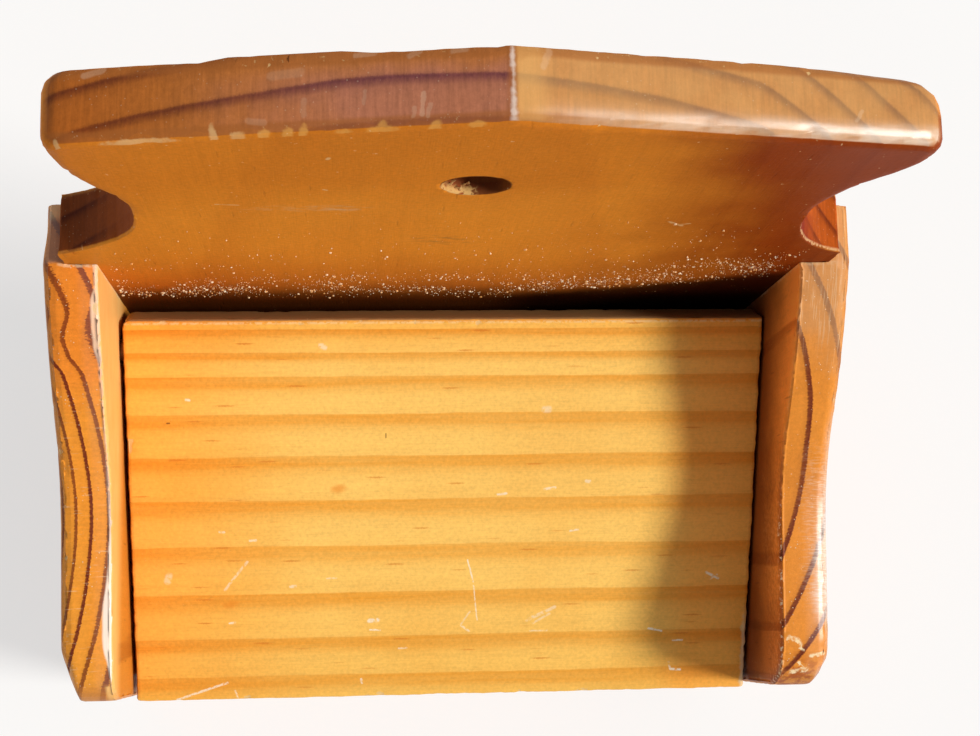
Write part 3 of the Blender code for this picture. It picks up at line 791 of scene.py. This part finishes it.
def left_sheen(wood, x, y, z, end):
    """Glossiest along the rubbed inner arris."""
    return 0.08 + x.step(-79, -77) * x.fall(-74.3, -74.05) * end * 0.8


def right_sheen(wood, x, y, z, end):
    """Glossiest on the rounded outer arris of the front half."""
    return 0.08 + x.step(79, 81) * y.fall(-8, 0) * top_edge(wood, z, end) * 0.9


ARRIS = 0.5
TOP_ABOVE_CUT = 0.75


def top_heights(form, inner):
    """Height of the board's top at each place from front to back, read along its inner arris."""
    def beside(vertex):
        return abs(vertex.co.x / MILLIMETRE - inner)

    return sorted((vertex.co.y / MILLIMETRE, vertex.co.z / MILLIMETRE) for vertex in form.verts
                  if beside(vertex) < 0.02 and vertex.co.z > 0.1
                  and any(beside(edge.other_vert(vertex)) > 0.3 for edge in vertex.link_edges))


def side_shape(tops, side, inner_radius, crown_radius, hollow_radius, nose, lip, thicker):
    """Round the two top arrises, cut the nose's outer corner, and close the glued joints. The
    inner arris has one radius at the front and ARRIS at the back. The nose's cut has a width, a
    length and a power."""
    nose_width, nose_length, nose_power = nose

    def top_at(y):
        for (y0, z0), (y1, z1) in zip(tops, tops[1:]):
            if y0 <= y <= y1 and y1 > y0:
                return z0 + (z1 - z0) * (y - y0) / (y1 - y0) + TOP_ABOVE_CUT
        return math.inf

    def shape(place, normal):
        drop = top_at(place.y) - place.z
        inner_round = ARRIS + (inner_radius - ARRIS) * (1 - ease(place.y, -2, 14))
        outer_round = hollow_radius + (crown_radius - hollow_radius) * ease(place.y, 0, 12)
        for inset, radius, way in ((side * place.x - SIDE_INNER, inner_round, 1),
                                   (SIDE_OUTER - side * place.x, outer_round, -1)):
            if -0.01 < inset < radius and -0.01 < drop < radius:
                arm = Vector((inset - radius, drop - radius))
                if arm.length > radius:
                    moved = arm * (radius / arm.length)
                    place.x += side * way * (moved.x - arm.x)
                    place.z -= moved.y - arm.y
                    drop += moved.y - arm.y
        front = place.y - SIDE_FRONT
        inset = SIDE_OUTER - side * place.x
        cut = nose_length * max(0.0, 1 - inset / nose_width) ** nose_power
        place.y += cut * ease(place.z, 92, 108) * (1 - ease(front, 0, 2.1 * nose_length))
        if SHOULDER[0] < place.y < SHOULDER[1] and abs(place.x) < 81.4:
            place.y = SHOULDER_GLUED
        if place.y > SHOULDER[1] and WALL[0] < side * place.x < WALL[1]:
            place.x = side * WALL_GLUED
        crown = ease(place.y, 2, 20) * ease(place.z, 122, 134)
        inset = abs(side * place.x - SIDE_INNER)
        if inset < 1.0:
            place.x -= side * thicker * crown * (1 - inset)
        if side < 0:
            place.x += (0.8 * ease(-place.x, 83, SIDE_OUTER) * ease(place.y, 39, 48)
                        * ease(place.z, 120, 140))
        if place.y > 38.6:
            wall = (ease(side * place.x, 70, WALL_GLUED)
                    * (1 - ease(side * place.x, WALL_GLUED, SIDE_OUTER)))
            place.x -= side * lip * wall * ease(place.z, 120, 136)
        return place

    return shape


SIDE_PROFILE = ((0.0, 0.0), (0.62, 0.04), (0.75, 0.2), (0.79, 0.9), (0.965, 1.0),
                (0.985, 0.55), (1.0, 0.0))
NARROW_PROFILE = ((0.0, 0.0), (0.66, 0.04), (0.81, 0.2), (0.855, 0.9), (0.965, 1.0),
                  (0.985, 0.55), (1.0, 0.0))
SIDE_END_TONES = ((0.90, 0.320, 0.032), (0.135, 0.011, 0.005))
SIDE_FACE_TONES = ((0.66, 0.24, 0.028), (0.42, 0.12, 0.012))
SIDE_BOARDS = {
    "left_side_board": (
        {"side": -1, "inner_radius": 3.2, "crown_radius": 5.0, "hollow_radius": 2.8,
         "nose": (3.3, 7.0, 1.1), "lip": 0.8, "thicker": 0.5},
        {"rings": left_rings, "profile": SIDE_PROFILE, "stains": left_stains,
         "sheen": left_sheen, "blur": 0.30, "teeth": 0.2, "saw": 0.14}),
    "right_side_board": (
        {"side": 1, "inner_radius": 0.8, "crown_radius": 2.6, "hollow_radius": 4.6,
         "nose": (3.6, 3.6, 2.4), "lip": 1.2, "thicker": 0.0},
        {"rings": right_rings, "profile": NARROW_PROFILE, "stains": right_stains,
         "sheen": right_sheen, "blur": 0.36, "teeth": 0.08, "saw": 0.05})}
for node, (sizes, looks) in SIDE_BOARDS.items():
    form = gridded(node, 1.3 * MILLIMETRE, cuts=(0.3, 0.75, 1.9, 3.2))
    shape = side_shape(top_heights(form, sizes["side"] * SIDE_INNER), **sizes)
    wear_down(form, node, UPRIGHT, chip=0.35, seed=7.7, shape=shape)
    show_board(form, node, "case",
               pine(node + "_pine", side_axes, end_tones=SIDE_END_TONES,
                    face_tones=SIDE_FACE_TONES, **looks))

# Front board: low pine board with level grain, glued and nailed between the sides. Its top edge
# is planed to the lid's slope, and the lid rests on it.


def front_axes(x, y, z):
    return x, z, y


def front_rings(wood, along, across, through):
    depth = through + 120 + along * 0.02
    height = across - 20
    return depth.span(height) / 5.5


form = gridded("front_board", 2.2 * MILLIMETRE, cuts=(0.5,))
wear_down(form, "front_board", LEVEL, rub=0.08, chip=0.3, seed=1.9)
show_board(form, "front_board", "case",
           pine("front_pine", front_axes, front_rings, WIDE_PROFILE,
                SIDE_END_TONES, SIDE_FACE_TONES))

# Bottom board: plain unvarnished pine with level grain, between the sides, the front and the
# back. It is seen only from below and with the lid open.


def bottom_axes(x, y, z):
    return x, y, z


def bottom_rings(wood, along, across, through):
    depth = through + 40 + along * 0.02
    spread = across - 10
    return spread.span(depth) / 4.6


form = gridded("bottom_board", 2.6 * MILLIMETRE, cuts=(0.5,))
wear_down(form, "bottom_board", LEVEL, rub=0.06, chip=0.3, seed=5.3)
show_board(form, "bottom_board", "case",
           pine("bottom_pine", bottom_axes, bottom_rings, WIDE_PROFILE,
                ((0.60, 0.36, 0.15), (0.34, 0.15, 0.05)),
                ((0.68, 0.43, 0.19), (0.48, 0.25, 0.09)), sheen=0.0, specks=0.4))

# Lid: one pine board with straight level grain, honey varnished, tipped down to the front and
# swinging on two wooden pins, its front and right edges rubbed pale and ragged.

LID_SLOPE = math.radians(23)
HINGE_Y, HINGE_Z = 28.116, 116.3
HINGE_DOWN = 8
# Where the dark bands start, in millimetres down the slope, and how dark each is along its width.
BAND_PLACES = (2.3, 7.8, 13.3, 22.2, 32.4, 43.2, 54.4, 66.1, 77.4, 87.0)
BAND_PROFILE = ((0.0, 0.12), (0.10, 0.04), (0.35, 0.0), (0.52, 0.10), (0.66, 0.45),
                (0.76, 0.9), (0.95, 1.0), (0.985, 0.9), (1.0, 0.1))
BANDS = 12
LAST_BAND = 11.2
RAMP_LENGTH = 100


def lid_axes(x, y, z):
    """Along the grain, down the slope from the rear edge, and up through the board."""
    cosine, sine = math.cos(LID_SLOPE), math.sin(LID_SLOPE)
    down = HINGE_DOWN - (y - HINGE_Y) * cosine - (z - HINGE_Z) * sine
    through = (z - HINGE_Z) * cosine - (y - HINGE_Y) * sine
    return x, down, through


def lid_rings(wood, along, across, through):
    """Count of bands, sharp at the rear of each and fading forwards."""
    wave = wood.cloud(along * 0.012, across * 0.05, through * 0.03, 1.0)
    place = across + (through - 5) * 0.5 + (wave - 0.5) * 0.7
    stops = [(spot / RAMP_LENGTH, number / BANDS) for number, spot in enumerate(BAND_PLACES, 1)]
    counted = wood.ramp(place / RAMP_LENGTH, [(0.0, 0.0), *stops, (1.0, LAST_BAND / BANDS)])
    return BANDS - wood.add("RGBToBW", None, {0: counted}) * BANDS


# Scratches: the places of both ends across and down the slope, the width and the strength.
LID_SCRATCHES = (
    (5.4, 58.6, 6.7, 64.1, 0.26, 0.75), (6.8, 65.0, 7.7, 73.8, 0.22, 0.6),
    (6.0, 71.7, 3.9, 74.8, 0.3, 0.35), (3.9, 75.2, 5.8, 76.6, 0.35, 0.5),
    (-63.7, 92.7, -51.8, 88.6, 0.38, 0.7), (-49.9, 90.6, -49.3, 93.0, 0.3, 0.6),
    (-51.7, 65.0, -46.4, 58.1, 0.42, 0.45), (62.8, 62.8, 65.7, 64.3, 0.45, 0.95),
    (64.0, 64.4, 65.5, 63.4, 0.3, 0.7), (49.3, 76.9, 52.5, 77.6, 0.36, 0.95),
    (55.3, 80.1, 57.6, 80.1, 0.3, 0.85), (54.5, 85.7, 55.0, 87.5, 0.32, 0.6),
    (55.0, 87.6, 57.4, 87.8, 0.4, 0.85), (19.7, 74.1, 26.4, 70.9, 0.55, 0.4),
    (21.2, 74.9, 25.0, 72.6, 0.4, 0.35), (20.5, 76.9, 24.6, 76.9, 0.25, 0.4),
    (-18.0, 73.5, -15.9, 73.3, 0.7, 0.75), (-17.8, 75.8, -15.4, 75.9, 0.3, 0.75),
    (-10.9, 80.7, -9.0, 80.6, 0.3, 0.5), (-52.7, 50.6, -51.6, 50.7, 0.35, 0.65),
    (-45.6, 52.9, -44.2, 52.8, 0.4, 0.6), (-27.9, 62.6, -25.7, 62.5, 0.3, 0.4),
    (-36.3, 64.5, -35.3, 64.4, 0.5, 0.55), (-50.8, 73.4, -49.6, 73.3, 0.35, 0.7),
    (-20.0, 88.4, -19.7, 89.4, 0.35, 0.6), (29.6, 51.7, 31.5, 51.4, 0.35, 0.6),
    (-28.6, 6.2, -27.8, 6.6, 0.9, 0.5), (23.0, 21.8, 23.9, 21.8, 1.1, 0.4),
    (12.3, 42.4, 14.2, 42.2, 0.4, 0.7), (23.4, 41.2, 25.8, 40.9, 0.45, 0.6),
    (33.2, 39.4, 33.9, 39.5, 0.6, 0.5), (-59.4, 18.7, -58.6, 18.8, 0.4, 0.75),
    (-65.0, 62.6, -64.6, 61.2, 1.1, 0.4))


def lid_stains(wood, x, y, z, colour, end):
    """More orange to the left, the front and the rear bands, two small resin knots, and pale
    scratches."""
    down, through = lid_axes(x, y, z)[1:]
    fine = wood.blots(x, y, z, 0.5, 3.0)
    shift = fine - 0.5
    crumb = wood.blots(x, y, z, 1.3, 2.0)
    blot = wood.cloud(x * 0.02, down * 0.12, through * 0.1, 3.0)
    warm = (x + (blot - 0.5) * 30).fall(-74, -22)
    colour = colour.tint(warm * 0.8, (0.94, 0.70, 0.38))
    front = (down + (blot - 0.5) * 20).step(50, 94) * (1 - warm * 0.6)
    colour = colour.tint(front * 0.45, (0.90, 0.76, 0.50))
    rear = (down + (blot - 0.5) * 3).fall(1.5, 12)
    colour = colour.tint(rear * 0.6, (0.96, 0.75, 0.46))
    # Painted shade: darker and warmer where the right side board's shadow falls on the lid.
    shaded = (x + (blot - 0.5) * 8).step(49, 61)
    colour = colour.tint(shaded * 0.9, (0.99, 0.79, 0.64))
    back_end = (down + shift * 0.4).fall(0.25, 0.6)
    colour = colour.mix(back_end * 0.85, (0.40, 0.23, 0.11))
    arris = down.step(0.55, 0.8) * down.fall(1.0, 1.4) * crumb.step(0.35, 0.55)
    colour = colour.mix(arris * 0.4, (1.0, 0.80, 0.45))
    for centre, size in (((-50.4, 68.8), 1.5), ((-25.1, 40.4), 1.6)):
        far = ((x - centre[0]) / 1.7).span(down - centre[1]) / size
        knot = (far + shift * 1.1).fall(0.2, 1.0)
        colour = colour.mix(knot * 0.6, (0.80, 0.26, 0.025))
    pitch = marks(x, down, ((-63.8, 24.2, -63.3, 24.2, 0.26, 1),
                            (-13.9, 27.2, -13.9, 28.2, 0.16, 1)))
    top = through.step(4.2, 4.7)
    colour = colour.mix(pitch * top * 0.8, (0.14, 0.04, 0.012))
    scratches = marks(x + shift * 0.5, down + (crumb - 0.5) * 0.4, LID_SCRATCHES)
    scratches = scratches * top * crumb.step(0.28, 0.55)
    colour = colour.mix(scratches, (0.97, 0.87, 0.68))
    side = (x + shift * 1.3).step(71.9, 72.7) * (down + shift * 12).step(70, 80)
    return colour.mix(side * 0.7, (0.88, 0.68, 0.42))


RIGHT_WIDER, LEFT_WIDER = 0.55, 0.25
FRONT_BITE = 0.14
CORNER_ROUND = 1.8


def lid_shape(place, normal):
    """Ragged front and right edges, a rounded rear left corner, and a right edge close to the
    side board."""
    down = lid_axes(*place)[1]
    place.x += RIGHT_WIDER * ease(place.x, 66, 72) - LEFT_WIDER * ease(-place.x, 66, 72)
    tooth = noise.noise(Vector((down * 0.55, place.z * 0.2, 4.1)))
    tooth += 0.6 * noise.noise(Vector((down * 1.6, 0, 9.7)))
    place.x -= ease(place.x, 70.5, 73) * (0.12 + 0.22 * tooth) * (1 + ease(down, 45, 80))
    tooth = noise.noise(Vector((down * 0.5, 1.3, 0)))
    tooth += 0.7 * noise.noise(Vector((down * 1.5, 5.1, 0)))
    place.x += ease(-place.x, 71, 73) * 0.13 * (1 + tooth)
    place.x += ease(-place.x, 69, 73.1) * shortfall(down, CORNER_ROUND)
    bite = 1 + noise.noise(Vector((place.x * 0.22, 7.7, 0)))
    bite += 0.8 * noise.noise(Vector((place.x * 0.9, 2.2, 0)))
    up_slope = Vector((0, math.cos(LID_SLOPE), math.sin(LID_SLOPE)))
    place += up_slope * (FRONT_BITE * bite) * ease(down, 91.5, 93.2)
    return place


lid_turn = Matrix.Rotation(LID_SLOPE, 3, "X")
form = gridded("lid", 1.1 * MILLIMETRE, lid_turn, cuts=(0.4,))
wear_down(form, "lid", LEVEL, rub=0.06, chip=0.25, seed=9.4, shape=lid_shape, room=0.6)
show_board(form, "lid", "lid",
           pine("lid_pine", lid_axes, lid_rings, BAND_PROFILE,
                ((0.70, 0.34, 0.09), (0.36, 0.12, 0.03)),
                ((0.98, 0.61, 0.152), (0.82, 0.365, 0.045)), lid_stains, sheen=0.05,
                specks=0.35, dashes=0.6, sand=0.07, dash_tone=(0.66, 0.22, 0.030), lustre=0.05))

# Lid pins: turned dowels through the side boards into the ends of the lid, cut flush outside.
# They are the CAD solids themselves, in a darker pine.


def repaint(node, material):
    """Give a CAD solid that is shown as it is a material of its own."""
    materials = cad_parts[node].data.materials
    materials.clear()
    materials.append(material)


def pin_axes(x, y, z):
    return x, y - HINGE_Y, z - HINGE_Z


def pin_rings(wood, along, across, through):
    return across.span(through) / 1.3


pin_material = pine("pin_wood", pin_axes, pin_rings, WIDE_PROFILE,
                    ((0.34, 0.15, 0.045), (0.14, 0.045, 0.015)),
                    ((0.38, 0.17, 0.05), (0.24, 0.09, 0.03)), specks=0.0)
for node in ("left_lid_pin", "right_lid_pin"):
    repaint(node, pin_material)

# Brads: thin steel nails with small heads, set a little below the wood, as the CAD has them.
# The steel is dull and slightly tarnished.

brads = Finish("brad_steel_dull")
tarnish = brads.blots(*brads.axes(), 1.6, 3.0)
brad_colour = brads.mix(tarnish, (0.30, 0.28, 0.26), (0.16, 0.13, 0.11))
brad_material = brads.close(brad_colour, 0.35 + tarnish * 0.3, tarnish, 0.00003, Metallic=1.0)
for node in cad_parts:
    if "_brad_" in node:
        repaint(node, brad_material)

# Floor, light and camera: a pale floor that shows nearly white to the camera but keeps the
# shadow, a soft low glow from all round, and one soft lamp from the right.


def backdrop_rays(finish):
    """1 where the camera sees the backdrop, directly, in a reflection or through glass."""
    camera_ray = finish.add("LightPath")
    outputs = camera_ray.socket.node.outputs
    glossy_ray = Wire(finish, outputs["Is Glossy Ray"])
    return camera_ray.most(glossy_ray).most(Wire(finish, outputs["Is Transmission Ray"]))


FLOOR_HALF = 6.0
FLOOR_WHITENESS = 0.6
SKY_LEVEL = 0.31
form = bmesh.new()
bmesh.ops.create_grid(form, x_segments=1, y_segments=1, size=FLOOR_HALF)
paper = Finish("floor_pale")
mottle = paper.blots(*paper.axes(), 0.01, 3.0)
paper_colour = paper.mix(mottle, (0.90, 0.90, 0.90), (0.94, 0.94, 0.94))
lit = paper.add("BsdfDiffuse", None, {0: paper_colour})
white = paper.add("Emission", None, {0: (1, 1, 1), 1: 1.0})
whitened = paper.add("MixShader", None,
                     {0: backdrop_rays(paper) * FLOOR_WHITENESS, 1: lit, 2: white})
paper.add("OutputMaterial", None, {0: whitened})
floor = show(form, "floor", paper.material)

sky = Finish("studio", bpy.data.worlds.new("studio"))
scene.world = sky.material
strength = backdrop_rays(sky) * (1 - SKY_LEVEL) + SKY_LEVEL
glow = sky.add("Background", None, {0: (1, 1, 1), 1: strength})
sky.add("OutputWorld", None, {0: glow})

key_data = bpy.data.lights.new("key", "SUN")
key_data.energy = 3.0
key_data.angle = math.radians(14)
key_data.color = (1.0, 0.97, 0.92)
key = bpy.data.objects.new("key", key_data)
scene.collection.objects.link(key)
key.rotation_euler = Vector((1.02, -0.21, 1.0)).to_track_quat("Z", "Y").to_euler()

camera_data = bpy.data.cameras.new("camera")
camera_data.lens = 62.368
camera_data.sensor_width = 36
camera_data.sensor_fit = "HORIZONTAL"
camera = bpy.data.objects.new("camera", camera_data)
scene.collection.objects.link(camera)
camera.matrix_world = (Matrix.Translation((-0.0225357, -0.0378140, 0.5042914))
                       @ Matrix.Rotation(0.15595835757, 4, "X")
                       @ Matrix.Rotation(-0.08347811842, 4, "Y")
                       @ Matrix.Rotation(-0.00805762744, 4, "Z"))
scene.camera = camera

scene.view_settings.view_transform = "Standard"
bpy.context.view_layer.update()
